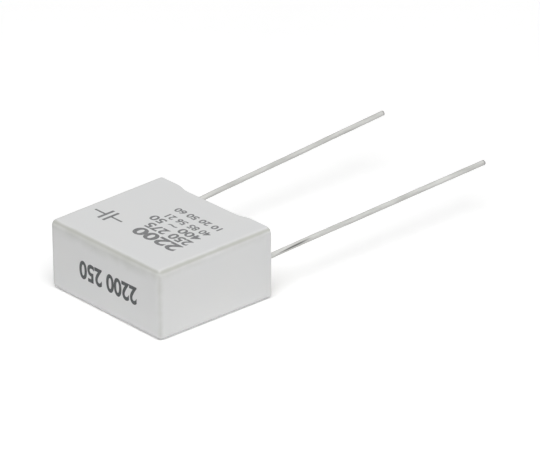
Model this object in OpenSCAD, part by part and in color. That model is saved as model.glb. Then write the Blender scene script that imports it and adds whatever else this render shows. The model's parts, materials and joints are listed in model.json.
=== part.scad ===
// Box-shaped paper capacitor with two wire leads, lying on one broad face.
// The shapes are drawn with the leads pointing up, then the whole part is laid down.

/* [Case] */
// Height from the closed end to the stand-off feet
case_height = 15.5; // [13:0.1:20]
// Thickness across the broad faces, at the rim
case_thickness = 8.3; // [7:0.1:11]
// Thickness of the side walls
wall = 0.8; // [0.5:0.05:1.1]
// Thickness of the closed end
floor_thickness = 0.9; // [0.5:0.05:1.5]
// Draft of each side, in degrees
draft = 0.5; // [0.1:0.1:1]
// Radius of the outer edges
edge_radius = 0.7; // [0.3:0.05:0.8]
// Radius of the inner corners
inner_radius = 0.3; // [0.15:0.05:0.6]
// Chamfer round the outside of the rim
rim_chamfer = 0.15; // [0.05:0.05:0.25]

/* [Stand-off feet] */
// Length of each foot along the broad wall, measured from the narrow end
foot_length = 3.4; // [2:0.1:5]
// Height of the feet above the rim between them
foot_height = 0.42; // [0.2:0.02:0.8]
// Length of the slope from a foot down to that rim
foot_ramp = 1.4; // [0.4:0.1:2]
// Height of the set-back band under the feet, on the narrow ends
band_height = 0.9; // [0.5:0.05:2]
// Depth of the set-back band
band_depth = 0.05; // [0.03:0.01:0.15]

/* [Potting resin] */
// Depth of the resin surface under the rim between the feet
fill_depth = 0.6; // [0.2:0.05:1.2]
// Resin between each lead and the narrow wall, at the rim
end_cover = 0.3; // [0.25:0.05:1]
// Resin between the winding and each broad wall, at the rim
side_cover = 0.8; // [0.4:0.05:1.5]
// Resin between the winding and the closed end
floor_cover = 1.2; // [0.5:0.1:2]
// Resin over the winding
top_cover = 1.9; // [1:0.1:4]
// Height of the collar of resin drawn up each lead
collar_height = 0.3; // [0.1:0.05:0.5]
// Width of that collar at its foot
collar_width = 0.25; // [0.1:0.05:0.4]

/* [Winding] */
// Thickness of the sprayed metal contact on each end
contact_thickness = 0.45; // [0.2:0.05:0.8]

/* [Leads] */
// Distance between the two leads
lead_pitch = 15.2; // [10:0.1:28]
// Diameter of the wire
lead_diameter = 0.6; // [0.4:0.05:1]
// Length of the left lead beyond the feet
lead_left_length = 32.1; // [4:0.1:40]
// Length of the right lead beyond the feet
lead_right_length = 32.9; // [4:0.1:40]
// Bend of the left lead at the feet, in degrees
lead_left_bend = 4; // [0.5:0.1:8]
// Bend of the right lead at the feet, in degrees
lead_right_bend = 1.6; // [0.5:0.1:8]
// Radius of those bends, along the middle of the wire
bend_radius = 6; // [2:0.5:12]
// How much the bend has drawn the wire thinner
bend_thinning = 0.01; // [0.01:0.005:0.05]
// Length of wire welded to each contact
weld_length = 5; // [2:0.1:7]
// Depth to which the wire is sunk into the contact
weld_depth = 0.1; // [0.05:0.01:0.15]

/* [Hidden] */
$fn = 48;
corner_fn = 32;
overshoot = 1;
bend_overlap = 0.1;
left = -1;
right = 1;

lead_x = lead_pitch / 2;
case_length = lead_pitch + lead_diameter + 2 * (end_cover + wall);
rim_z = case_height - foot_height;
fill_z = rim_z - fill_depth;
contact_x = lead_x - lead_diameter / 2 + weld_depth;
winding_length = 2 * (contact_x - contact_thickness);
winding_thickness = case_thickness - 2 * (wall + side_cover);
winding_bottom = floor_thickness + floor_cover;
winding_height = fill_z - top_cover - winding_bottom;
winding_z = winding_bottom + winding_height / 2;
weld_z = winding_bottom + winding_height - weld_length;

// How far a drafted side has drawn in at height z
function drawn_in(z) = (case_height - z) * tan(draft);

// Lays the standing part on its broad face, leads along +Y, with the middle of the lower face at the origin
module laid_down() {
    translate([0, -case_height / 2, case_thickness / 2 * cos(draft) - case_height * sin(draft)])
        rotate([draft - 90, 0, 0])
            children();
}

// Places its children over the four corners of a drafted block, at height z
module at_corners(inset, z) {
    x = case_length / 2 - drawn_in(z) - inset;
    y = case_thickness / 2 - drawn_in(z) - inset;
    for (sx = [-1, 1], sy = [-1, 1])
        translate([sx * x, sy * y, z])
            children();
}

// Ball that comes to a point at each pole, so that a flat face of a hull ends in one point at each corner
module ball(radius) {
    rotate_extrude($fn = corner_fn)
        intersection() {
            circle(radius, $fn = corner_fn);
            translate([0, -radius])
                square([radius, 2 * radius]);
        }
}

// Outside of the case before it is hollowed, with a round closed end and a chamfered rim
module case_block() {
    hull() {
        at_corners(edge_radius, edge_radius)
            ball(edge_radius);
        at_corners(edge_radius, case_height - rim_chamfer)
            cylinder(r1 = edge_radius, r2 = edge_radius - rim_chamfer, h = rim_chamfer, $fn = corner_fn);
    }
}

// Room inside the walls, open at the rim
module cavity() {
    hull() {
        for (z = [floor_thickness + inner_radius, case_height + overshoot])
            at_corners(wall + inner_radius, z)
                ball(inner_radius);
    }
}

// Cut that lowers the rim of both broad walls between the feet
module rim_cut() {
    top = case_length / 2 - foot_length;
    bottom = top - foot_ramp;
    outline = [
        [-bottom, rim_z],
        [bottom, rim_z],
        [top, case_height],
        [top, case_height + overshoot],
        [-top, case_height + overshoot],
        [-top, case_height]
    ];
    rotate([90, 0, 0])
        linear_extrude(case_thickness + 2 * overshoot, center = true)
            polygon(outline);
}

// Slab that sets back the band under the feet on one narrow end
module end_band(side) {
    middle = case_length / 2 - band_depth + overshoot / 2;
    translate([side * middle, 0, case_height + (overshoot - band_height) / 2])
        cube([overshoot, case_thickness + overshoot, band_height + overshoot], center = true);
}

// Flattened round-ended section of the winding, drawn out along X
module flat_roll(length) {
    rotate([90, 0, 90])
        linear_extrude(length, center = true)
            union() {
                square([winding_thickness, winding_height - winding_thickness], center = true);
                for (end = [-1, 1])
                    translate([0, end * (winding_height - winding_thickness) / 2])
                        circle(d = winding_thickness);
            }
}

module contact(side) {
    difference() {
        translate([side * (contact_x - contact_thickness / 2), 0, winding_z])
            flat_roll(contact_thickness);
        lead_tail(side);
    }
}

// Straight stretch of a lead, from its weld up to the feet
module lead_tail(side) {
    translate([side * lead_x, 0, weld_z])
        cylinder(d = lead_diameter, h = case_height - weld_z);
}

// Bend of a lead about its centre, drawn a little thinner and sunk into the straight stretch at each end
module elbow(bend) {
    sunk = bend_overlap / bend_radius * 180 / PI;
    rotate([90, 0, 90])
        rotate([0, 0, -sunk])
            rotate_extrude(angle = bend + 2 * sunk)
                translate([bend_radius, 0])
                    circle(d = lead_diameter - bend_thinning);
}

// Whole lead, bent a little towards the broad face that lies uppermost
module lead(side, length, bend) {
    arc = bend_radius * bend * PI / 180;
    lead_tail(side);
    translate([side * lead_x, -bend_radius, case_height]) {
        elbow(bend);
        rotate([bend, 0, 0])
            translate([0, bend_radius, 0])
                cylinder(d = lead_diameter, h = length - arc);
    }
}

// Resin that has crept up a lead, as a cone round it
module collar(side) {
    translate([side * lead_x, 0, fill_z])
        cylinder(r1 = lead_diameter / 2 + collar_width, r2 = lead_diameter / 2, h = collar_height);
}

module case() {
    color("#e3e3e1")
        laid_down()
            difference() {
                case_block();
                cavity();
                rim_cut();
                end_band(left);
                end_band(right);
            }
}

module potting_resin() {
    color("#d9d5c8")
        laid_down()
            difference() {
                intersection() {
                    cavity();
                    union() {
                        translate([-case_length / 2, -case_thickness / 2, 0])
                            cube([case_length, case_thickness, fill_z]);
                        collar(left);
                        collar(right);
                    }
                }
                translate([0, 0, winding_z])
                    flat_roll(2 * contact_x);
                lead_tail(left);
                lead_tail(right);
            }
}

module winding() {
    color("#c9a877")
        laid_down()
            translate([0, 0, winding_z])
                flat_roll(winding_length);
}

module contact_left() {
    color("#8f9296")
        laid_down()
            contact(left);
}

module contact_right() {
    color("#8f9296")
        laid_down()
            contact(right);
}

module lead_left() {
    color("#c4c5c4")
        laid_down()
            lead(left, lead_left_length, lead_left_bend);
}

module lead_right() {
    color("#c4c5c4")
        laid_down()
            lead(right, lead_right_length, lead_right_bend);
}

case();
potting_resin();
winding();
contact_left();
contact_right();
lead_left();
lead_right();
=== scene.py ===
# %% [markdown]
# # A potted paper capacitor
# The object is a small capacitor for mains filters: a paper winding cast in resin inside a moulded plastic
# box, with two stiff wires that are soldered into a circuit board. It lies on one of its broad faces. The
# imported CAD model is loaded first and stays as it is. Every piece made here goes where that frame says, so
# nothing has to be fitted by eye.

# %% Load the fixed frame
import json
import math

import bmesh
import bpy
from mathutils import Matrix, Vector


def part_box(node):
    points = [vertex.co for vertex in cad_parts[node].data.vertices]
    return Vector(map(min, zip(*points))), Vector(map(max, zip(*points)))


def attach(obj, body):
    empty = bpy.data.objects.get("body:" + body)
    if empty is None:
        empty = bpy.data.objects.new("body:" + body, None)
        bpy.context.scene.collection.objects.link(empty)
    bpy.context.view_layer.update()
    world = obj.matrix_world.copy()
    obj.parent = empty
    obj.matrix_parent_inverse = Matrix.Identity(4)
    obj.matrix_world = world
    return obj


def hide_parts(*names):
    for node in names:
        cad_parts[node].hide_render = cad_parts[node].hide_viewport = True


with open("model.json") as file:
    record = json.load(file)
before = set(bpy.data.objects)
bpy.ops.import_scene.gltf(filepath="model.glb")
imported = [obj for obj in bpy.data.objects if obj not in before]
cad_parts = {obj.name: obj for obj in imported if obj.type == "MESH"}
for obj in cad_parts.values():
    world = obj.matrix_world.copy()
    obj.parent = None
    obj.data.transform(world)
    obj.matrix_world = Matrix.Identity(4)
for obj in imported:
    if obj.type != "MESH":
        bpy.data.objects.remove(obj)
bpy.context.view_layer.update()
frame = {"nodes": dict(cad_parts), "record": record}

print("CAD nodes:", ", ".join(sorted(frame["nodes"])))

# %% [markdown]
# ## Sizes
# The box is easiest to think of standing on its closed end, with the wires pointing up: length along X,
# thickness along Y, height along Z. All shapes below are worked out in millimetres in that standing frame,
# and one matrix lays them down on the broad face and turns them into metres. The draft is the small slope
# that lets a moulded part leave its mould, so the box is a little smaller at the closed end.

# %% Sizes of the moulded box, in millimetres
MM = 0.001
LENGTH = 18.0
THICKNESS = 8.3
HEIGHT = 15.5
WALL = 0.8
FLOOR = 0.9
DRAFT = math.radians(0.5)
EDGE_RADIUS = 0.7
INNER_RADIUS = 0.3

LAID_DOWN = (
    Matrix.Scale(MM, 4)
    @ Matrix.Translation((0, -HEIGHT / 2, THICKNESS / 2 * math.cos(DRAFT) - HEIGHT * math.sin(DRAFT)))
    @ Matrix.Rotation(DRAFT - math.pi / 2, 4, "X")
)


def lay_down(name, standing):
    """Blender mesh of a straight-sided standing bmesh, with the draft given, laid down and in metres."""
    for vert in standing.verts:
        drawn_in = (HEIGHT - vert.co.z) * math.tan(DRAFT)
        vert.co.x *= 1 - drawn_in / (LENGTH / 2)
        vert.co.y *= 1 - drawn_in / (THICKNESS / 2)
    standing.transform(LAID_DOWN)
    laid = bpy.data.meshes.new(name)
    standing.to_mesh(laid)
    standing.free()
    return laid


rim_corner = LAID_DOWN @ Vector((LENGTH / 2, -THICKNESS / 2, HEIGHT)) / MM
print("rim corner at", [round(value, 2) for value in rim_corner], "mm")

# %% [markdown]
# ## Helpers for nodes
# Materials and Geometry Nodes are both trees of nodes, so one small function serves both: it adds a node,
# gives it its settings, and fills each input with a value or with a link from another node. Colours are
# written as the hex values that a picture editor shows, and a second function turns them into the linear
# values that a renderer works with. A third one starts an empty material.

# %% Node, colour and material helpers
def add(tree, kind, inputs=None, **settings):
    """Adds a node with its settings, and fills its inputs from values or from other nodes' outputs."""
    node = tree.nodes.new(kind)
    for name, value in settings.items():
        setattr(node, name, value)
    for key, value in (inputs or {}).items():
        if isinstance(value, bpy.types.NodeSocket):
            tree.links.new(value, node.inputs[key])
        else:
            node.inputs[key].default_value = value
    return node


def linear(hex_colour):
    """Linear RGBA of an sRGB hex colour."""
    channels = [int(hex_colour[k : k + 2], 16) / 255 for k in (1, 3, 5)]
    return [c / 12.92 if c <= 0.04045 else ((c + 0.055) / 1.055) ** 2.4 for c in channels] + [1.0]


def new_material(name):
    """Empty material, its node tree, and its Object coordinates."""
    material = bpy.data.materials.new(name)
    material.use_nodes = True
    tree = material.node_tree
    tree.nodes.clear()
    return material, tree, add(tree, "ShaderNodeTexCoord").outputs["Object"]


print("#808080 is", round(linear("#808080")[0], 3), "in linear light")

# %% [markdown]
# ## Material of the box
# Such boxes are injection moulded from a filled white thermoplastic. The mould is lightly blasted, so the
# skin is satin and very finely grained. The colour along the edges of the printed face is painted darker,
# with a slight cream hue: the cream is the plastic's own, the darkness is painted shade for the darker line
# that the rounded edges show. A painted picture could hold that line, but it would blur close up. So the
# painted shade follows an attribute that the mesh carries, the gap from the nearest of those edges, with
# some noise in it so that the line is not ruled.

# %% Injection-moulded white thermoplastic: tone of the faces, and painted shade along the edges
CLOUD = 5.0
EDGE_RAGGED = 1.6
RAGGED_DEPTH = 0.15
FULL_SHADE_GAP = 0.27
NO_SHADE_GAP = 0.62
moulded_plastic, tree, coords = new_material("moulded_white_thermoplastic")

cloud = add(tree, "ShaderNodeTexNoise", {"Vector": coords, "Scale": 1 / (CLOUD * MM), "Detail": 3.0})
face_tone = add(
    tree,
    "ShaderNodeMix",
    {"Factor": cloud.outputs["Fac"], "A": linear("#dddedf"), "B": linear("#e0e0df")},
    data_type="RGBA",
)
ragged = add(tree, "ShaderNodeTexNoise", {"Vector": coords, "Scale": 1 / (EDGE_RAGGED * MM), "Detail": 2.0})
gap = add(tree, "ShaderNodeAttribute", attribute_name="edge_gap")
ragged_gap = add(
    tree,
    "ShaderNodeMath",
    {0: ragged.outputs["Fac"], 1: RAGGED_DEPTH, 2: gap.outputs["Fac"]},
    operation="MULTIPLY_ADD",
)
edge = add(
    tree,
    "ShaderNodeMapRange",
    {
        "Value": ragged_gap.outputs[0],
        "From Min": FULL_SHADE_GAP,
        "From Max": NO_SHADE_GAP,
        "To Min": 1.0,
        "To Max": 0.0,
    },
    interpolation_type="SMOOTHSTEP",
)
# Painted shade: near the edges of the printed face the colour turns to the darker, slightly cream #bbbcb6.
tone = add(
    tree,
    "ShaderNodeMix",
    {"Factor": edge.outputs["Result"], "A": face_tone.outputs["Result"], "B": linear("#bbbcb6")},
    data_type="RGBA",
)
print("clouds of tone", CLOUD, "mm wide, tint up to", NO_SHADE_GAP, "mm from an edge")

# %% Injection-moulded white thermoplastic: satin skin
# The real grain is finer than this. It is drawn as coarse as it needs to be to break up the shine.
GRAIN = 0.22
grain = add(tree, "ShaderNodeTexNoise", {"Vector": coords, "Scale": 1 / (GRAIN * MM), "Detail": 4.0})
bump = add(
    tree, "ShaderNodeBump", {"Height": grain.outputs["Fac"], "Strength": 0.12, "Distance": 0.02 * MM}
)
sheen = add(tree, "ShaderNodeMapRange", {"Value": cloud.outputs["Fac"], "To Min": 0.42, "To Max": 0.52})
skin = add(
    tree,
    "ShaderNodeBsdfPrincipled",
    {
        "Base Color": tone.outputs["Result"],
        "Roughness": sheen.outputs["Result"],
        "IOR": 1.5,
        "Normal": bump.outputs["Normal"],
    },
)
add(tree, "ShaderNodeOutputMaterial", {"Surface": skin.outputs["BSDF"]})
print(moulded_plastic.name, "has a grain of", GRAIN, "mm")

# %% [markdown]
# ## The moulded box
# The real box is a cup with round edges, open at the wire end, whose rim stands on a foot at each narrow
# end. A cube with a Bevel modifier would come close, but the feet, their slopes and the different inner and
# outer corner radii would need a lot of cutting. A loft is neater: the same rounded rectangle is drawn
# again and again, at the closed end, up the wall, over the rim and down the inside, and faces join each
# ring to the next. Every ring has the same number of points, and a close pair of points beside each corner
# keeps flats flat. A ring is kept as its two half sizes, its corner radius, and a rule that gives the
# height of each of its points.

# %% Rounded rectangle
CORNER_STEPS = 8


def side_shares(count, guard):
    """Shares along one straight side: even steps, with one more point close to each end."""
    return [guard] + [step / count for step in range(1, count)] + [1 - guard]


LONG_SHARES = side_shares(64, 0.002)
SHORT_SHARES = side_shares(28, 0.005)


def rounded_loop(half_x, half_y, radius):
    """Points round a rectangle with round corners, anticlockwise, always the same number."""
    signs = ((1, 1), (-1, 1), (-1, -1), (1, -1))
    loop = []
    for turn in range(4):
        here = Vector(signs[turn])
        ahead = Vector(signs[(turn + 1) % 4])
        reach = Vector((half_x - radius, half_y - radius))
        for step in range(CORNER_STEPS + 1):
            angle = (turn + step / CORNER_STEPS) * math.pi / 2
            out = radius * Vector((math.cos(angle), math.sin(angle)))
            loop.append(here * reach + out)
        start, end = here * reach + out, ahead * reach + out
        shares = LONG_SHARES if turn % 2 == 0 else SHORT_SHARES
        loop.extend(start.lerp(end, share) for share in shares)
    return loop


print("points in a ring:", len(rounded_loop(LENGTH / 2, THICKNESS / 2, EDGE_RADIUS)))

# %% Rings of a round floor and of a wall
ROUND_STEPS = 12


def level(height):
    """Height rule of a ring that lies level."""
    return lambda x, y: height


def round_floor(inset, floor, radius):
    """Rings of a flat floor with a round edge, from its flat to its wall."""
    rings = []
    for step in range(ROUND_STEPS + 1):
        angle = step / ROUND_STEPS * math.pi / 2
        height = floor + radius * (1 - math.cos(angle))
        shrink = inset + radius * (1 - math.sin(angle))
        size = (LENGTH / 2 - shrink, THICKNESS / 2 - shrink, radius * math.sin(angle))
        rings.append((*size, level(height)))
    return rings


def wall_ring(inset, height_at):
    """Ring on the wall, some way in from its outer face."""
    radius = EDGE_RADIUS + (INNER_RADIUS - EDGE_RADIUS) * inset / WALL
    return (LENGTH / 2 - inset, THICKNESS / 2 - inset, radius, height_at)


print("rings of the round closed end:", len(round_floor(0, 0, EDGE_RADIUS)))

# %% [markdown]
# The feet keep the box a little off its circuit board, so that flux can be washed out from under it. A
# Boolean cut between them would leave sharp slopes and long thin faces. Here the rim's height is a rule of
# the place along the box, averaged over a few neighbouring places, which softens both ends of each slope.
# The rings near the rim follow that rule, and those further down lie level.

# %% Rim that stands on two feet
FOOT_LENGTH = 3.4
FOOT_HEIGHT = 0.42
FOOT_RAMP = 1.4
SOFTENING = (-0.3, -0.15, 0.0, 0.15, 0.3)


def rim_height(x):
    """Height of the rim: high at both feet, low between them, with softened slopes."""
    low_end = LENGTH / 2 - FOOT_LENGTH - FOOT_RAMP
    shares = [min(max((abs(x) + offset - low_end) / FOOT_RAMP, 0), 1) for offset in SOFTENING]
    return HEIGHT - FOOT_HEIGHT * (1 - sum(shares) / len(shares))


def under_rim(drop):
    """Height rule of a ring that follows the rim, some way under it."""
    return lambda x, y: rim_height(x) - drop


print("rim at", round(rim_height(LENGTH / 2), 2), "mm on a foot and", round(rim_height(0), 2), "mm between")

# %% All rings of the box
# The rings lie closer where the painted edge shade fades. A pair on each side of the band's step, and one
# close under the rim, keep the smooth shading there narrow.
BAND_HEIGHT = 0.9
STEP_HALF = 0.035
STEP_GUARD = 0.09
RIM_OUTER = 0.15
RIM_INNER = 0.1
RIM_GUARD = 0.05
RIM_OUTER_STEPS = 6
RIM_INNER_STEPS = 4
OUTSIDE_HEIGHTS = (0.75, 0.9, 1.1, 1.4, 2, 4, 7, 10, 13, 14)
INSIDE_HEIGHTS = (14.5, 10, 5)

band_line = HEIGHT - BAND_HEIGHT
beside_step = [band_line + shift for shift in (-STEP_GUARD, -STEP_HALF, STEP_HALF, STEP_GUARD)]
box_rings = round_floor(0, 0, EDGE_RADIUS)
for height in (*OUTSIDE_HEIGHTS, *beside_step):
    box_rings.append(wall_ring(0, level(height)))
box_rings.append(wall_ring(0, under_rim(RIM_OUTER + RIM_GUARD)))
for step in range(RIM_OUTER_STEPS + 1):
    angle = step / RIM_OUTER_STEPS * math.pi / 2
    inset = RIM_OUTER * (1 - math.cos(angle))
    box_rings.append(wall_ring(inset, under_rim(RIM_OUTER * (1 - math.sin(angle)))))
for step in range(RIM_INNER_STEPS + 1):
    angle = step / RIM_INNER_STEPS * math.pi / 2
    inset = WALL - RIM_INNER + RIM_INNER * math.sin(angle)
    box_rings.append(wall_ring(inset, under_rim(RIM_INNER * (1 - math.cos(angle)))))
for height in INSIDE_HEIGHTS:
    box_rings.append(wall_ring(WALL, level(height)))
box_rings.extend(reversed(round_floor(WALL, FLOOR, INNER_RADIUS)))
print("rings in the box:", len(box_rings))

# %% Loft through rings
def loft(rings):
    """Closed mesh through rings of (half x, half y, radius, height rule), with grids in the end rings."""
    mesh = bmesh.new()
    loops = []
    for half_x, half_y, radius, height_at in rings:
        loop = rounded_loop(half_x, half_y, radius)
        loops.append([mesh.verts.new((p.x, p.y, height_at(p.x, p.y))) for p in loop])
    for low, high in zip(loops, loops[1:]):
        for k in range(len(low)):
            mesh.faces.new((low[k - 1], low[k], high[k], high[k - 1]))
    for half_x, half_y, _, height_at in (rings[0], rings[-1]):
        xs = [half_x * (2 * share - 1) for share in (0, *LONG_SHARES, 1)]
        ys = [half_y * (2 * share - 1) for share in (0, *SHORT_SHARES, 1)]
        grid = [[mesh.verts.new((x, y, height_at(x, y))) for x in xs] for y in ys]
        for row, after in zip(grid, grid[1:]):
            for k in range(1, len(row)):
                mesh.faces.new((row[k - 1], row[k], after[k], after[k - 1]))
    bmesh.ops.remove_doubles(mesh, verts=mesh.verts, dist=0.001)
    bmesh.ops.recalc_face_normals(mesh, faces=mesh.faces)
    for face in mesh.faces:
        face.smooth = True
    return mesh


box = loft(box_rings)
print("points in the box:", len(box.verts))

# %% [markdown]
# Two things are added before the mesh is laid down. The narrow ends are set back by a hair above the band
# line, where the mould has a step, so points there are held to that plane. And each point keeps its gap
# from the edges of the printed face, which is the larger of its distances from that face and from the
# nearer of the end and the side. The material paints shade along the edges from that gap. Further down the
# upright faces the gap grows slowly, so that the painted shade fades out there, and on the narrow sides it
# starts higher, which makes the painted shade fainter. The corner edge where end and side meet gets painted
# shade too.

# %% Box mesh with its set-back band and edge gaps
def place_piece(name, mesh, material):
    """Object of a finished mesh, with its material, riding on the one body of the part."""
    mesh.materials.clear()
    mesh.materials.append(material)
    piece = bpy.data.objects.new(name, mesh)
    bpy.context.scene.collection.objects.link(piece)
    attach(piece, "root")
    print(name, "has", len(mesh.polygons), "faces")
    return piece


BAND_DEPTH = 0.05
END_TAIL = 0.3
SIDE_TAIL = 0.37
TAIL_SLOPE = 0.13
CORNER_GAP = 0.3
CORNER_SLOPE = 0.35
# The gap sets where the box material paints shade along the edges of the printed face.
edge_gap = box.verts.layers.float.new("edge_gap")
for vert in box.verts:
    x, y, from_end = vert.co
    if from_end > band_line:
        vert.co.x = max(min(x, LENGTH / 2 - BAND_DEPTH), BAND_DEPTH - LENGTH / 2)
    from_side, from_print = LENGTH / 2 - abs(x), THICKNESS / 2 + y
    tail = END_TAIL if from_end < from_side else SIDE_TAIL
    down = min(from_print, tail + TAIL_SLOPE * from_print)
    print_gap = max(down, min(from_side, from_end))
    vert[edge_gap] = min(print_gap, CORNER_GAP + CORNER_SLOPE * max(from_side, from_end))
moulded_box = place_piece("moulded_box", lay_down("moulded_box", box), moulded_plastic)
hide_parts("case")

# %% [markdown]
# ## The potting resin
# The winding is fixed in the box with liquid epoxy resin, which sets to a glossy, slightly sunken surface
# of a pale cream colour with some haze in it. While liquid it creeps up whatever it touches, so it stands
# higher along the walls and round the two wires. A flat lid would lose that. The block is lofted like the
# box, and the height of its top follows a rule: a shallow dish, plus a short exponential climb at the
# walls. The climb at a wire is finer than that mesh, so it is a ring of its own, whose profile is turned
# round the wire and ends a little under the surface.

# %% Cast epoxy resin
HAZE = 3.0
RIPPLE = 1.2
cast_epoxy, tree, coords = new_material("cast_epoxy_resin")
haze = add(
    tree,
    "ShaderNodeTexNoise",
    {"Vector": coords, "Scale": 1 / (HAZE * MM), "Detail": 4.0, "Distortion": 0.8},
)
resin_tone = add(
    tree,
    "ShaderNodeMix",
    {"Factor": haze.outputs["Fac"], "A": linear("#d3cfc1"), "B": linear("#dedbd0")},
    data_type="RGBA",
)
ripple = add(tree, "ShaderNodeTexNoise", {"Vector": coords, "Scale": 1 / (RIPPLE * MM), "Detail": 1.0})
wave = add(
    tree, "ShaderNodeBump", {"Height": ripple.outputs["Fac"], "Strength": 0.1, "Distance": 0.05 * MM}
)
gloss = add(tree, "ShaderNodeMapRange", {"Value": haze.outputs["Fac"], "To Min": 0.12, "To Max": 0.24})
resin_skin = add(
    tree,
    "ShaderNodeBsdfPrincipled",
    {
        "Base Color": resin_tone.outputs["Result"],
        "Roughness": gloss.outputs["Result"],
        "IOR": 1.55,
        "Normal": wave.outputs["Normal"],
    },
)
add(tree, "ShaderNodeOutputMaterial", {"Surface": resin_skin.outputs["BSDF"]})
print(cast_epoxy.name, "has a haze of", HAZE, "mm and ripples of", RIPPLE, "mm")

# %% Height of the set resin
FILL_DEPTH = 0.6
WALL_CREEP = 0.16
DISH = 0.12
CREEP_REACH = 0.22
fill_line = HEIGHT - FOOT_HEIGHT - FILL_DEPTH
inner_x = LENGTH / 2 - WALL
inner_y = THICKNESS / 2 - WALL


def resin_height(x, y):
    """Height of the set resin at a place of its surface."""
    from_end = max(inner_x - abs(x), 0)
    from_side = max(inner_y - abs(y), 0)
    creep = WALL_CREEP * max(math.exp(-from_end / CREEP_REACH), math.exp(-from_side / CREEP_REACH))
    dish = DISH * (1 - (x / inner_x) ** 2) * (1 - (y / inner_y) ** 2)
    return fill_line + creep - max(dish, 0)


print("resin is", round(resin_height(inner_x, 0) - resin_height(0, 0), 2), "mm higher at the wall")

# %% Collar of resin round a wire
LEAD_PITCH = 15.2
LEAD_RADIUS = 0.3
WIRE_CREEP = 0.26
COLLAR_LAP = 0.05
COLLAR_ROOT = 0.1
COLLAR_STEPS = 40
COLLAR_SHARES = (0, 0.2, 0.45, 0.75, 1.1, 1.6, 2.2, 3.0)


def collar_profile():
    """Points of (radius, lift over the resin) of a collar, closed under the surface."""
    inside, last = LEAD_RADIUS - COLLAR_LAP, COLLAR_SHARES[-1]
    profile = [(inside, -COLLAR_ROOT), (inside, WIRE_CREEP)]
    for share in COLLAR_SHARES:
        climb = math.exp(-share) - math.exp(-last) * share / last
        profile.append((LEAD_RADIUS + share * CREEP_REACH, WIRE_CREEP * climb))
    profile.append((profile[-1][0] + COLLAR_ROOT, -COLLAR_ROOT))
    return profile


def add_collar(resin, side):
    """Adds the closed ring of resin that has crept up the wire on one side."""
    loops = []
    for radius, lift in collar_profile():
        loop = []
        for step in range(COLLAR_STEPS):
            angle = step / COLLAR_STEPS * math.tau
            x = min(LEAD_PITCH / 2 + radius * math.cos(angle), inner_x)
            y = radius * math.sin(angle)
            loop.append(resin.verts.new((side * x, y, resin_height(x, y) + lift)))
        loops.append(loop)
    faces = []
    for k, loop in enumerate(loops):
        for step in range(COLLAR_STEPS):
            corners = (loops[k - 1][step - 1], loops[k - 1][step], loop[step], loop[step - 1])
            faces.append(resin.faces.new(corners))
            faces[-1].smooth = True
    bmesh.ops.recalc_face_normals(resin, faces=faces)


print("a collar reaches", round(collar_profile()[-2][0], 2), "mm from the middle of its wire")

# %% Resin block
RESIN_HEIGHTS = (5, 10)
TOP_STEPS = 5

resin_rings = round_floor(WALL, FLOOR, INNER_RADIUS)
for height in RESIN_HEIGHTS:
    resin_rings.append(wall_ring(WALL, level(height)))
for step in range(TOP_STEPS + 1):
    inset = step / TOP_STEPS * INNER_RADIUS
    resin_rings.append((inner_x - inset, inner_y - inset, INNER_RADIUS - inset, resin_height))
resin = loft(resin_rings)
for side in (-1, 1):
    add_collar(resin, side)
cast_resin = place_piece("cast_resin", lay_down("cast_resin", resin), cast_epoxy)
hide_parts("potting_resin")

# %% [markdown]
# ## Material of the wires
# The leads are soft copper wire, drawn through a die and then tinned. Tin is a grey-white metal that is
# never mirror smooth on such wire: the die leaves fine lines along it, and the tin sets in long soft
# streaks that differ in tone and roughness. An even grey metal would look like a chromed rod. Both patterns
# run along Y, so a Mapping node stretches each of them that way. One wire's colour is painted darker in a
# small patch close to the box. It is a spherical gradient in an ellipsoid, set beside the wire by a Mapping
# node. The cut ends are dull, and an attribute that the wire's mesh carries says where they are.

# %% Drawn and tinned copper: streaks, a dark patch and cut ends
STREAK_WIDTH = 0.45
DARK_PATCH_PLACE = Vector((7.9, 12.0, 4.44)) * MM
DARK_PATCH_REACH = Vector((0.24, 2.9, 0.11)) * MM
DARK_PATCH_TILT = (math.radians(4), 0, 0)
tinned_copper, tree, coords = new_material("drawn_tinned_copper")

drawn_out = add(tree, "ShaderNodeMapping", {"Vector": coords, "Scale": (1.0, 0.15, 1.0)})
streaks = add(
    tree,
    "ShaderNodeTexNoise",
    {"Vector": drawn_out.outputs[0], "Scale": 1 / (STREAK_WIDTH * MM), "Detail": 3.0},
)
streak = add(
    tree, "ShaderNodeMapRange", {"Value": streaks.outputs["Fac"], "From Min": 0.3, "From Max": 0.7}
)
streaked_tone = add(
    tree,
    "ShaderNodeMix",
    {"Factor": streak.outputs["Result"], "A": linear("#c4c4c1"), "B": linear("#dadad7")},
    data_type="RGBA",
)
# A darker patch on one wire close to the box: a spherical gradient darkens the tin colour there.
beside_wire = add(
    tree,
    "ShaderNodeMapping",
    {"Vector": coords, "Location": DARK_PATCH_PLACE, "Rotation": DARK_PATCH_TILT, "Scale": DARK_PATCH_REACH},
    vector_type="TEXTURE",
)
dark_patch = add(tree, "ShaderNodeTexGradient", {"Vector": beside_wire.outputs[0]}, gradient_type="SPHERICAL")
dark_patch_share = add(tree, "ShaderNodeMapRange", {"Value": dark_patch.outputs["Fac"], "From Max": 0.6, "To Max": 0.9})
patched_tone = add(
    tree,
    "ShaderNodeMix",
    {"Factor": dark_patch_share.outputs["Result"], "A": streaked_tone.outputs["Result"], "B": linear("#686866")},
    data_type="RGBA",
)
nipped = add(tree, "ShaderNodeAttribute", attribute_name="nipped")
tin_tone = add(
    tree,
    "ShaderNodeMix",
    {"Factor": nipped.outputs["Fac"], "A": patched_tone.outputs["Result"], "B": linear("#989695")},
    data_type="RGBA",
)
print("streaks", STREAK_WIDTH, "mm wide, scuff", round(2 * DARK_PATCH_REACH.y / MM, 1), "mm long")

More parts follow.
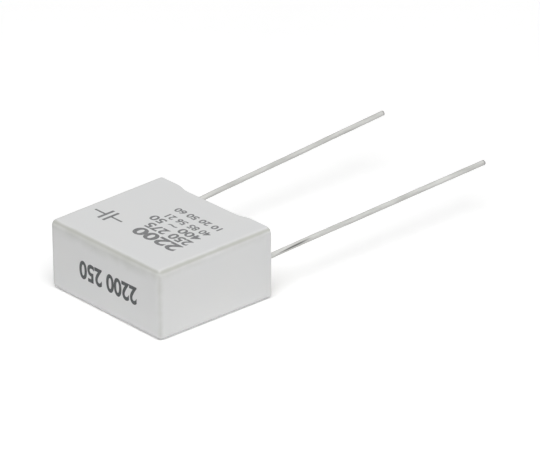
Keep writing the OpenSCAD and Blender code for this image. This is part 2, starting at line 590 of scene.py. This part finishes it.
# %% Drawn and tinned copper: metal skin
# Real die lines are finer than this. They are drawn as coarse as they need to be to soften the shine. The
# tint makes the tin a little darker where it is seen at a flat angle.
DIE_LINE = 0.09
along = add(tree, "ShaderNodeMapping", {"Vector": coords, "Scale": (1.0, 0.02, 1.0)})
lines = add(
    tree, "ShaderNodeTexNoise", {"Vector": along.outputs[0], "Scale": 1 / (DIE_LINE * MM), "Detail": 2.0}
)
tin_lines = add(
    tree, "ShaderNodeBump", {"Height": lines.outputs["Fac"], "Strength": 0.25, "Distance": 0.01 * MM}
)
tin_rough = add(
    tree, "ShaderNodeMapRange", {"Value": streak.outputs["Result"], "To Min": 0.45, "To Max": 0.3}
)
tin_skin = add(
    tree,
    "ShaderNodeBsdfPrincipled",
    {
        "Base Color": tin_tone.outputs["Result"],
        "Metallic": 1.0,
        "Specular Tint": linear("#d8d8d8"),
        "Roughness": tin_rough.outputs["Result"],
        "Normal": tin_lines.outputs["Normal"],
    },
)
add(tree, "ShaderNodeOutputMaterial", {"Surface": tin_skin.outputs["BSDF"]})
print(tinned_copper.name, "has die lines", DIE_LINE, "mm apart")

# %% [markdown]
# ## The wires
# A wire follows a path. A curve with a round bevel would do for a perfect one, but Geometry Nodes can add
# what a real one has. The tree resamples the path, lets it wander by a few hundredths of a millimetre as a
# hand-straightened wire does, pinches the last tenths where the cutter nipped it, and sweeps a circle
# along it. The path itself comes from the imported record, whose two pins give the middle, the direction and
# the length of each straight run.

# %% Inputs of the wire tree
wire_tree = bpy.data.node_groups.new("drawn_wire", "GeometryNodeTree")
WIRE_INPUTS = {
    "Path": "NodeSocketGeometry",
    "Radius": "NodeSocketFloat",
    "Wander": "NodeSocketFloat",
    "Wander Length": "NodeSocketFloat",
    "Nip Length": "NodeSocketFloat",
    "Seed": "NodeSocketFloat",
    "Metal": "NodeSocketMaterial",
}
for name, kind in WIRE_INPUTS.items():
    wire_tree.interface.new_socket(name, in_out="INPUT", socket_type=kind)
wire_tree.interface.new_socket("Wire", in_out="OUTPUT", socket_type="NodeSocketGeometry")
given = add(wire_tree, "NodeGroupInput").outputs
print("inputs of the wire tree:", ", ".join(WIRE_INPUTS))

# %% Wandering path
# The wander is nought near both ends, so that the wire leaves the box and ends where the record says.
PATH_STEP = 0.12
fine = add(
    wire_tree,
    "GeometryNodeResampleCurve",
    {"Curve": given["Path"], "Length": PATH_STEP * MM},
    mode="LENGTH",
)
here = add(wire_tree, "GeometryNodeInputPosition").outputs[0]
frequency = add(wire_tree, "ShaderNodeMath", {0: 1.0, 1: given["Wander Length"]}, operation="DIVIDE")
noise = add(
    wire_tree,
    "ShaderNodeTexNoise",
    {"Vector": here, "W": given["Seed"], "Scale": frequency.outputs[0], "Detail": 1.0},
    noise_dimensions="4D",
)
centred = add(
    wire_tree, "ShaderNodeVectorMath", {0: noise.outputs["Color"], 1: (0.5, 0.5, 0.5)}, operation="SUBTRACT"
)
run = add(wire_tree, "GeometryNodeSplineParameter").outputs
from_ends = add(wire_tree, "ShaderNodeMath", {0: run["Factor"], 1: 0.5}, operation="PINGPONG")
fade = add(
    wire_tree,
    "ShaderNodeMapRange",
    {"Value": from_ends.outputs[0], "From Min": 0.1, "From Max": 0.3, "To Max": given["Wander"]},
)
offset = add(
    wire_tree, "ShaderNodeVectorMath", {0: centred.outputs[0], 3: fade.outputs["Result"]}, operation="SCALE"
)
wandering = add(
    wire_tree, "GeometryNodeSetPosition", {"Geometry": fine.outputs[0], "Offset": offset.outputs[0]}
)
print("a path has a point every", PATH_STEP, "mm")

# %% Nipped tip and swept section
NIP_PINCH = 0.3
SECTION_POINTS = 28
total = add(wire_tree, "GeometryNodeSplineLength").outputs["Length"]
to_tip = add(wire_tree, "ShaderNodeMath", {0: total, 1: run["Length"]}, operation="SUBTRACT")
nip = add(
    wire_tree,
    "ShaderNodeMapRange",
    {"Value": to_tip.outputs[0], "From Max": given["Nip Length"], "To Min": 1.0, "To Max": 0.0},
    interpolation_type="SMOOTHSTEP",
).outputs["Result"]
marked = add(
    wire_tree,
    "GeometryNodeStoreNamedAttribute",
    {"Geometry": wandering.outputs[0], "Name": "nipped", "Value": nip},
)
width = add(wire_tree, "ShaderNodeMath", {0: nip, 1: -NIP_PINCH, 2: 1.0}, operation="MULTIPLY_ADD")
thick = add(
    wire_tree, "GeometryNodeSetCurveRadius", {"Curve": marked.outputs[0], "Radius": width.outputs[0]}
)
section = add(
    wire_tree,
    "GeometryNodeCurvePrimitiveCircle",
    {"Resolution": SECTION_POINTS, "Radius": given["Radius"]},
)
swept = add(
    wire_tree,
    "GeometryNodeCurveToMesh",
    {"Curve": thick.outputs[0], "Profile Curve": section.outputs[0], "Fill Caps": True},
)
real = add(wire_tree, "GeometryNodeRealizeInstances", {"Geometry": swept.outputs[0]})
done = add(
    wire_tree, "GeometryNodeSetMaterial", {"Geometry": real.outputs[0], "Material": given["Metal"]}
)
add(wire_tree, "NodeGroupOutput", {"Wire": done.outputs[0]})
print("the wire tree has", len(wire_tree.nodes), "nodes")

# %% Path of a wire
def wire_path(name):
    """Points of one wire in metres: inside end, feet, start of the straight run, tip."""
    pin = next(mount for mount in frame["record"]["mounts"] if mount["name"] == name + "_pin")
    middle, axis = Vector(pin["pos_m"]), Vector(pin["axis"])
    half = axis * pin["dims"]["length_mm"] * MM / 2
    side = math.copysign(LEAD_PITCH / 2, middle.x)
    low_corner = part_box(name)[0]
    feet = LAID_DOWN @ Vector((side, 0, HEIGHT))
    inside = LAID_DOWN @ Vector((side, 0, 0))
    inside = feet.lerp(inside, (feet.y - low_corner.y) / (feet.y - inside.y))
    return [inside, feet, middle - half, middle + half]


for side in ("left", "right"):
    tip = wire_path("lead_" + side)[-1]
    print("tip of the", side, "wire at", [round(value / MM, 2) for value in tip], "mm")

# %% The two wires
def swept_wire(name, points, seed):
    """Mesh of a wire swept along points by the tree."""
    curve = bpy.data.curves.new(name + "_path", "CURVE")
    curve.dimensions = "3D"
    spline = curve.splines.new("POLY")
    spline.points.add(len(points) - 1)
    for target, point in zip(spline.points, points):
        target.co = (*point, 1.0)
    path = bpy.data.objects.new(name + "_path", curve)
    bpy.context.scene.collection.objects.link(path)
    sweep = path.modifiers.new("drawn_wire", "NODES")
    sweep.node_group = wire_tree
    values = {
        "Radius": LEAD_RADIUS * MM,
        "Wander": 0.14 * MM,
        "Wander Length": 9 * MM,
        "Nip Length": 0.25 * MM,
        "Seed": seed,
        "Metal": tinned_copper,
    }
    for item in wire_tree.interface.items_tree:
        if item.in_out == "INPUT" and item.name in values:
            sweep[item.identifier] = values[item.name]
    evaluated = path.evaluated_get(bpy.context.evaluated_depsgraph_get())
    mesh = bpy.data.meshes.new_from_object(evaluated)
    mesh.name = name
    bpy.data.objects.remove(path)
    mesh.shade_smooth()
    mesh.set_sharp_from_angle(angle=math.radians(50))
    return mesh


for side, seed in (("left", 3.0), ("right", 8.0)):
    mesh = swept_wire("wire_" + side, wire_path("lead_" + side), seed)
    wire = place_piece("wire_" + side, mesh, tinned_copper)
    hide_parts("lead_" + side)

# %% [markdown]
# ## The print
# Ratings are pad printed on the uppermost face and on the closed end. Pad printing leaves a thin matt film
# of dark grey ink, uneven where it is thinnest. Here the print is plain numbers and the usual two-plate
# sign of a capacitor. A picture on the face would blur close up. A Text object gives clean numerals with
# little work, and its offset makes a bold cut. Each row is turned into a mesh, scaled to the width and
# height that it covers, and set on its face as a film a few thousandths of a millimetre thick.

# %% Pad-printing ink
INK_PATCH = 0.35


def printing_ink(name, full, thin):
    """Pad-printing ink that varies between the tones of a full and of a thin film."""
    ink, tree, coords = new_material(name)
    film = add(tree, "ShaderNodeTexNoise", {"Vector": coords, "Scale": 1 / (INK_PATCH * MM), "Detail": 3.0})
    tone = add(
        tree,
        "ShaderNodeMix",
        {"Factor": film.outputs["Fac"], "A": linear(full), "B": linear(thin)},
        data_type="RGBA",
    )
    skin = add(
        tree,
        "ShaderNodeBsdfPrincipled",
        {"Base Color": tone.outputs["Result"], "Roughness": 0.55, "IOR": 1.48},
    )
    add(tree, "ShaderNodeOutputMaterial", {"Surface": skin.outputs["BSDF"]})
    return ink


full_ink = printing_ink("pad_printing_ink_full", "#383a3b", "#626465")
thin_ink = printing_ink("pad_printing_ink_thin", "#5c5d5e", "#8a8b8c")
print("ink patches", INK_PATCH, "mm")

# %% Films of ink
INK = 0.01


def ink_row(text, left, right, base, top, weight):
    """Bmesh of a row of numerals that fills a box on a face, as a film of ink."""
    curve = bpy.data.curves.new("ink_row", "FONT")
    curve.body = text
    curve.offset = weight
    curve.extrude = 0.5
    row = bpy.data.objects.new("ink_row", curve)
    bpy.context.scene.collection.objects.link(row)
    mesh = bpy.data.meshes.new_from_object(row.evaluated_get(bpy.context.evaluated_depsgraph_get()))
    bpy.data.objects.remove(row)
    film = bmesh.new()
    film.from_mesh(mesh)
    bmesh.ops.remove_doubles(film, verts=film.verts, dist=1e-6)
    low = Vector([min(vert.co[axis] for vert in film.verts) for axis in range(3)])
    high = Vector([max(vert.co[axis] for vert in film.verts) for axis in range(3)])
    for vert in film.verts:
        share = [(vert.co[axis] - low[axis]) / (high[axis] - low[axis]) for axis in range(3)]
        vert.co = (left + share[0] * (right - left), base + share[1] * (top - base), (share[2] - 0.5) * INK)
    return film


def ink_bar(left, right, base, top):
    """Bmesh of a plain bar of ink."""
    bar = bmesh.new()
    bmesh.ops.create_cube(bar, size=1.0)
    centre = Vector(((left + right) / 2, (base + top) / 2, 0))
    bmesh.ops.scale(bar, vec=(right - left, top - base, INK), verts=bar.verts)
    bmesh.ops.translate(bar, vec=centre, verts=bar.verts)
    return bar


print("ink stands", INK / 2, "mm over its face")

# %% Print on the two faces
# A matrix for each face takes (across, up, out) on it to the standing frame. A row is its numerals, its
# left, right, base and top in millimetres from the middle of the face, and how much bolder it is cut.
TOP_FACE = Matrix(((-1, 0, 0, 0), (0, 0, -1, -THICKNESS / 2), (0, -1, 0, HEIGHT / 2), (0, 0, 0, 1)))
END_FACE = Matrix(((-1, 0, 0, 0), (0, 1, 0, 0), (0, 0, -1, 0), (0, 0, 0, 1)))
TOP_ROWS = (
    ("2200", -6.1, 0.75, 1.9, 3.55, 0.035),
    ("250 275", -6.05, 0.75, 0.4, 1.65, 0.03),
    ("400 ~ 50", -5.9, 1.85, -1.0, 0.1, 0.025),
    ("40 85 56 21", -5.9, 0.9, -2.3, -1.35, 0.025),
    ("10 20 50 60", -5.7, 1.4, -3.95, -3.05, 0.03),
)
SIGN_BARS = (
    (3.0, 4.65, 2.57, 2.8),
    (4.65, 5.0, 1.55, 3.8),
    (5.45, 5.8, 1.55, 3.8),
    (5.8, 7.4, 2.57, 2.8),
)
END_ROW = ("2200 250", -5.3, 4.1, -1.05, 1.15, 0.03)


def print_on(name, face, films, ink):
    """Places all films of ink on one face as one piece."""
    joined = bmesh.new()
    for film in films:
        film.transform(face)
        part = bpy.data.meshes.new("film")
        film.to_mesh(part)
        film.free()
        joined.from_mesh(part)
        bpy.data.meshes.remove(part)
    bmesh.ops.recalc_face_normals(joined, faces=joined.faces)
    place_piece(name, lay_down(name, joined), ink)


top_films = [ink_row(*row) for row in TOP_ROWS] + [ink_bar(*bar) for bar in SIGN_BARS]
print_on("print_top", TOP_FACE, top_films, thin_ink)
print_on("print_end", END_FACE, [ink_row(*END_ROW)], full_ink)

# %% [markdown]
# ## Pieces inside
# The winding and the sprayed metal contacts are closed in by resin and plastic, so their CAD solids stay as
# they are. They still get true materials, because the part may be cut open or shown in pieces: brown
# impregnated paper with its fibres along the winding, and zinc that was sprayed on as droplets and is rough
# and matt. The CAD solids that the pieces above stand for wear the same materials as those.

# %% Impregnated paper
# Real fibres are much thinner than this. They are drawn as coarse as they need to be to show.
FIBRE = 0.3
paper, tree, coords = new_material("impregnated_paper")
fibre_map = add(tree, "ShaderNodeMapping", {"Vector": coords, "Scale": (0.15, 1.0, 1.0)})
fibres = add(
    tree,
    "ShaderNodeTexNoise",
    {"Vector": fibre_map.outputs[0], "Scale": 1 / (FIBRE * MM), "Detail": 6.0},
)
paper_tone = add(
    tree,
    "ShaderNodeMix",
    {"Factor": fibres.outputs["Fac"], "A": linear("#b08a55"), "B": linear("#d2b583")},
    data_type="RGBA",
)
paper_skin = add(
    tree,
    "ShaderNodeBsdfPrincipled",
    {"Base Color": paper_tone.outputs["Result"], "Roughness": 0.6, "IOR": 1.5},
)
add(tree, "ShaderNodeOutputMaterial", {"Surface": paper_skin.outputs["BSDF"]})
print(paper.name, "has fibres", FIBRE, "mm wide")

# %% Sprayed zinc
DROPLET = 0.15
zinc, tree, coords = new_material("sprayed_zinc")
drops = add(tree, "ShaderNodeTexVoronoi", {"Vector": coords, "Scale": 1 / (DROPLET * MM)})
zinc_tone = add(
    tree,
    "ShaderNodeMix",
    {"Factor": drops.outputs["Distance"], "A": linear("#7d8084"), "B": linear("#a5a8ab")},
    data_type="RGBA",
)
zinc_bump = add(
    tree, "ShaderNodeBump", {"Height": drops.outputs["Distance"], "Strength": 0.5, "Distance": 0.05 * MM}
)
zinc_skin = add(
    tree,
    "ShaderNodeBsdfPrincipled",
    {
        "Base Color": zinc_tone.outputs["Result"],
        "Metallic": 1.0,
        "Roughness": 0.65,
        "Normal": zinc_bump.outputs["Normal"],
    },
)
add(tree, "ShaderNodeOutputMaterial", {"Surface": zinc_skin.outputs["BSDF"]})
print(zinc.name, "has droplets of", DROPLET, "mm")

# %% Materials of the CAD solids
node_materials = {
    "case": moulded_plastic,
    "potting_resin": cast_epoxy,
    "winding": paper,
    "contact_left": zinc,
    "contact_right": zinc,
    "lead_left": tinned_copper,
    "lead_right": tinned_copper,
}
for name, material in node_materials.items():
    frame["nodes"][name].material_slots[0].material = material
    print(name, "wears", material.name)

# %% [markdown]
# ## Floor and background
# The capacitor lies on a large white sheet. For the light that bounces the sheet is a plain matt white, and
# it takes the shadow. What the camera and any glossy surface see of it is lifted with some emission, so
# that it reads as white paper without more light on the object. The world does the same: it is white to the
# eye and in mirrors, and gives no light of its own.

# %% Matt white sheet
SHEET_CLOUD = 40
SEEN_LIFT = 0.285
MIRROR_LIFT = 0.05
sheet_white, tree, coords = new_material("matt_white_sheet")
sheet_cloud = add(
    tree, "ShaderNodeTexNoise", {"Vector": coords, "Scale": 1 / (SHEET_CLOUD * MM), "Detail": 2.0}
)
sheet_tone = add(
    tree,
    "ShaderNodeMix",
    {"Factor": sheet_cloud.outputs["Fac"], "A": linear("#f2f2f2"), "B": linear("#f6f6f6")},
    data_type="RGBA",
)
matt = add(tree, "ShaderNodeBsdfDiffuse", {"Color": sheet_tone.outputs["Result"]})
ray = add(tree, "ShaderNodeLightPath").outputs
mirrored = add(
    tree, "ShaderNodeMath", {0: ray["Is Glossy Ray"], 1: ray["Is Transmission Ray"]}, operation="ADD"
)
mirror_lift = add(tree, "ShaderNodeMath", {0: mirrored.outputs[0], 1: MIRROR_LIFT}, operation="MULTIPLY")
lift = add(
    tree,
    "ShaderNodeMath",
    {0: ray["Is Camera Ray"], 1: SEEN_LIFT, 2: mirror_lift.outputs[0]},
    operation="MULTIPLY_ADD",
)
glow = add(tree, "ShaderNodeEmission", {"Strength": lift.outputs[0]})
both = add(tree, "ShaderNodeAddShader", {0: matt.outputs[0], 1: glow.outputs[0]})
add(tree, "ShaderNodeOutputMaterial", {"Surface": both.outputs[0]})
print(sheet_white.name, "is lifted by", SEEN_LIFT, "for the camera")

# %% Floor and world
# The sheet lies a hair under the part, so that the two faces are not in one plane.
FLOOR_HALF = 2.0
FLOOR_DROP = 0.02
floor_mesh = bpy.data.meshes.new("floor")
plane = bmesh.new()
bmesh.ops.create_grid(plane, x_segments=1, y_segments=1, size=FLOOR_HALF)
bmesh.ops.translate(plane, vec=(0, 0, -FLOOR_DROP * MM), verts=plane.verts)
plane.to_mesh(floor_mesh)
plane.free()
floor_mesh.materials.append(sheet_white)
floor = bpy.data.objects.new("floor", floor_mesh)
bpy.context.scene.collection.objects.link(floor)

world = bpy.data.worlds.new("studio")
bpy.context.scene.world = world
world.use_nodes = True
tree = world.node_tree
tree.nodes.clear()
ray = add(tree, "ShaderNodeLightPath").outputs
mirrored = add(
    tree, "ShaderNodeMath", {0: ray["Is Glossy Ray"], 1: ray["Is Transmission Ray"]}, operation="ADD"
)
seen = add(tree, "ShaderNodeMath", {0: ray["Is Camera Ray"], 1: mirrored.outputs[0]}, operation="ADD")
sky = add(tree, "ShaderNodeBackground", {"Color": (1, 1, 1, 1), "Strength": seen.outputs[0]})
add(tree, "ShaderNodeOutputWorld", {"Surface": sky.outputs[0]})
print("floor is", 2 * FLOOR_HALF, "m wide")

# %% [markdown]
# ## Light
# The three faces that show are nearly equal in tone and hardly throw a shadow, as in a light tent. So a
# large soft lamp hangs high on the camera's side, which lights the top and lets the shadow fall faintly
# behind the object. Two low lamps off to the sides light the two upright faces that the camera sees. The
# lamps do not show in mirrors, so the wires reflect the white surroundings and have no hard glints.

# %% Soft lamps
NEUTRAL = (1.0, 1.0, 1.0)
WARM = (1.0, 1.0, 0.98)


def look_from(watcher, target, azimuth, elevation, distance):
    """Sets a lamp or camera in a direction from its target, in degrees, and turns it to look there."""
    a, e = math.radians(azimuth), math.radians(elevation)
    back = Vector((math.sin(a) * math.cos(e), -math.cos(a) * math.cos(e), math.sin(e)))
    watcher.location = target + back * distance
    watcher.rotation_mode = "QUATERNION"
    watcher.rotation_quaternion = back.to_track_quat("Z", "Y")


def soft_lamp(name, azimuth, elevation, distance, width, power, colour):
    """Square area lamp that looks at the part's origin, with sizes in metres and power in watts."""
    light = bpy.data.lights.new(name, "AREA")
    light.size = width
    light.energy = power
    light.color = colour
    lamp = bpy.data.objects.new(name, light)
    bpy.context.scene.collection.objects.link(lamp)
    look_from(lamp, Vector((0, 0, 0)), azimuth, elevation, distance)
    lamp.visible_glossy = False
    print(name, "at", [round(value, 2) for value in lamp.location], "m")


soft_lamp("high_softbox", 47, 65, 1.0, 0.9, 11.2, NEUTRAL)
soft_lamp("left_fill", -2, 8, 1.2, 0.5, 1.4, WARM)
soft_lamp("right_fill", 130, 8, 1.2, 0.5, 3.4, WARM)

# %% [markdown]
# ## Camera
# The picture was taken with a long lens, so the box shows hardly any perspective. The direction and the
# scale were found from the corners of the box and the tips of the wires: 4000 pixels of focal length in a
# picture 540 pixels wide, about 43 cm away.

# %% Camera
PICTURE_WIDTH = 540
FOCAL_PIXELS = 4000
SENSOR = 36.0
AIM = Vector((2.255, 13.61, 4.41)) * MM
AZIMUTH = 47.718
ELEVATION = 25.208
DISTANCE = 429.2 * MM

camera_data = bpy.data.cameras.new("camera")
camera_data.sensor_fit = "HORIZONTAL"
camera_data.sensor_width = SENSOR
camera_data.lens = SENSOR * FOCAL_PIXELS / PICTURE_WIDTH
camera_data.clip_start = 0.01
camera = bpy.data.objects.new("camera", camera_data)
bpy.context.scene.collection.objects.link(camera)
look_from(camera, AIM, AZIMUTH, ELEVATION, DISTANCE)
bpy.context.scene.camera = camera
bpy.context.scene.view_settings.view_transform = "Standard"
print("lens", round(camera_data.lens, 1), "mm")
